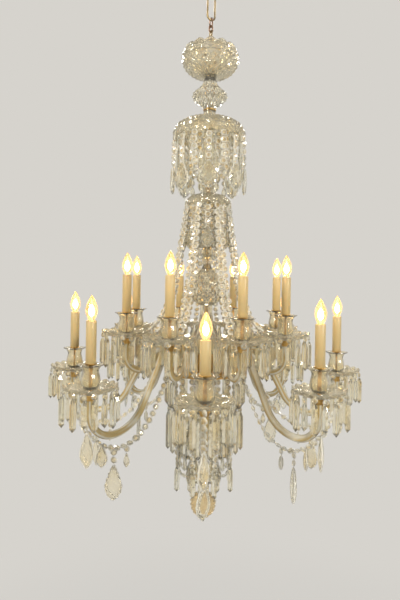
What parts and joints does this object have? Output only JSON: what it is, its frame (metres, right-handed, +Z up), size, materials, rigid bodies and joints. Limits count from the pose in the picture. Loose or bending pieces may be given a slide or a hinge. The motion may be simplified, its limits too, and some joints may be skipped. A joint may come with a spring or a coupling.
{
  "type": "crystal chandelier",
  "caption": "Two-tier cut crystal chandelier on a glass-clad stem, with bent glass arms, candle lights, drip pans, bead strings and swinging pendalogues.",
  "frame": {"origin": "where the ceiling hook bears inside the hanging link", "axes": "+Z up, front of the chandelier towards -Y"},
  "size_m": [0.9548, 0.9548, 1.6432],
  "materials": {
    "clear_crystal": "cut and polished lead crystal",
    "bulb_glass": "thin clear lamp glass",
    "ivory_card": "ivory candle sleeve",
    "aged_brass": "aged brass",
    "steel_wire": "plain steel wire",
    "steel_rod": "plated steel rod"
  },
  "bodies": {
    "hanging_link": {"hanging_link": "steel_wire"},
    "upper_chain_link": {"upper_chain_link": "aged_brass"},
    "lower_chain_link": {"lower_chain_link": "aged_brass"},
    "chandelier": {"stem_rod": "steel_rod", "top_globe": "clear_crystal", "spindle_ball": "clear_crystal", "spindle_collar": "aged_brass", "top_canopy": "clear_crystal", "upper_stem_tube": "clear_crystal", "middle_canopy": "clear_crystal", "lower_stem_tube": "clear_crystal", "baluster": "clear_crystal", "trumpet": "clear_crystal", "receiver_plate": "aged_brass", "stem_spacers": "clear_crystal", "receiver_bowl": "clear_crystal", "lower_dish": "clear_crystal", "tail_bowl": "clear_crystal", "arm_root_cups": "aged_brass", "arm_cups": "aged_brass", "lower_drip_pans": "clear_crystal", "upper_drip_pans": "clear_crystal", "lower_nozzles": "clear_crystal", "upper_nozzles": "clear_crystal", "candle_galleries": "aged_brass", "lower_candle_tubes": "ivory_card", "upper_candle_tubes": "ivory_card", "lower_bulbs": "bulb_glass", "upper_bulbs": "bulb_glass", "lower_pan_prisms": "clear_crystal", "upper_pan_prisms": "clear_crystal", "top_bead_strings": "clear_crystal", "top_pendalogues": "clear_crystal", "middle_bead_strings": "clear_crystal", "middle_pendalogues": "clear_crystal", "tent_strings": "clear_crystal", "arm_swags": "clear_crystal", "small_swag_drops": "clear_crystal", "basket_strings": "clear_crystal", "bowl_prisms": "clear_crystal", "dish_prisms": "clear_crystal", "upper_arms": "clear_crystal", "lower_arm_1": "clear_crystal", "lower_arm_2": "clear_crystal", "lower_arm_3": "clear_crystal", "lower_arm_4": "clear_crystal", "lower_arm_5": "clear_crystal", "lower_arm_6": "clear_crystal", "lower_arm_7": "clear_crystal", "lower_arm_8": "clear_crystal"},
    "finial_drop": {"finial_drop": "clear_crystal"},
    "arm_pendalogue_1": {"arm_pendalogue_1": "clear_crystal"},
    "arm_pendalogue_2": {"arm_pendalogue_2": "clear_crystal"},
    "arm_pendalogue_3": {"arm_pendalogue_3": "clear_crystal"},
    "arm_pendalogue_4": {"arm_pendalogue_4": "clear_crystal"},
    "arm_pendalogue_5": {"arm_pendalogue_5": "clear_crystal"},
    "arm_pendalogue_6": {"arm_pendalogue_6": "clear_crystal"},
    "arm_pendalogue_7": {"arm_pendalogue_7": "clear_crystal"},
    "arm_pendalogue_8": {"arm_pendalogue_8": "clear_crystal"}
  },
  "joints": [
    {"name": "upper_link_swing", "type": "hinge", "parent": "hanging_link", "child": "upper_chain_link", "pos_m": [0, 0, -0.087], "axis": [0.866, 0.5, 0], "range_deg": [-20, 20]},
    {"name": "lower_link_swing", "type": "hinge", "parent": "upper_chain_link", "child": "lower_chain_link", "pos_m": [0, 0, -0.1094], "axis": [-0.5, 0.866, 0], "range_deg": [-20, 20]},
    {"name": "chandelier_swing", "type": "hinge", "parent": "lower_chain_link", "child": "chandelier", "pos_m": [0, 0, -0.1245], "axis": [0.866, 0.5, 0], "range_deg": [-15, 15]},
    {"name": "finial_swing", "type": "hinge", "parent": "chandelier", "child": "finial_drop", "pos_m": [0, 0, -1.5406], "axis": [1, 0, 0], "range_deg": [-25, 25]},
    {"name": "arm_pendalogue_1_swing", "type": "hinge", "parent": "chandelier", "child": "arm_pendalogue_1", "pos_m": [0, -0.33267, -1.33609], "axis": [0.7071, -0.7071, 0], "range_deg": [-15, 15]},
    {"name": "arm_pendalogue_2_swing", "type": "hinge", "parent": "chandelier", "child": "arm_pendalogue_2", "pos_m": [0.23523, -0.23523, -1.33609], "axis": [1, 0, 0], "range_deg": [-15, 15]},
    {"name": "arm_pendalogue_3_swing", "type": "hinge", "parent": "chandelier", "child": "arm_pendalogue_3", "pos_m": [0.33267, 0, -1.33609], "axis": [0.7071, 0.7071, 0], "range_deg": [-15, 15]},
    {"name": "arm_pendalogue_4_swing", "type": "hinge", "parent": "chandelier", "child": "arm_pendalogue_4", "pos_m": [0.23523, 0.23523, -1.33609], "axis": [0, 1, 0], "range_deg": [-15, 15]},
    {"name": "arm_pendalogue_5_swing", "type": "hinge", "parent": "chandelier", "child": "arm_pendalogue_5", "pos_m": [0, 0.33267, -1.33609], "axis": [-0.7071, 0.7071, 0], "range_deg": [-15, 15]},
    {"name": "arm_pendalogue_6_swing", "type": "hinge", "parent": "chandelier", "child": "arm_pendalogue_6", "pos_m": [-0.23523, 0.23523, -1.33609], "axis": [-1, 0, 0], "range_deg": [-15, 15]},
    {"name": "arm_pendalogue_7_swing", "type": "hinge", "parent": "chandelier", "child": "arm_pendalogue_7", "pos_m": [-0.33267, 0, -1.33609], "axis": [-0.7071, -0.7071, 0], "range_deg": [-15, 15]},
    {"name": "arm_pendalogue_8_swing", "type": "hinge", "parent": "chandelier", "child": "arm_pendalogue_8", "pos_m": [-0.23523, -0.23523, -1.33609], "axis": [0, -1, 0], "range_deg": [-15, 15]}
  ]
}
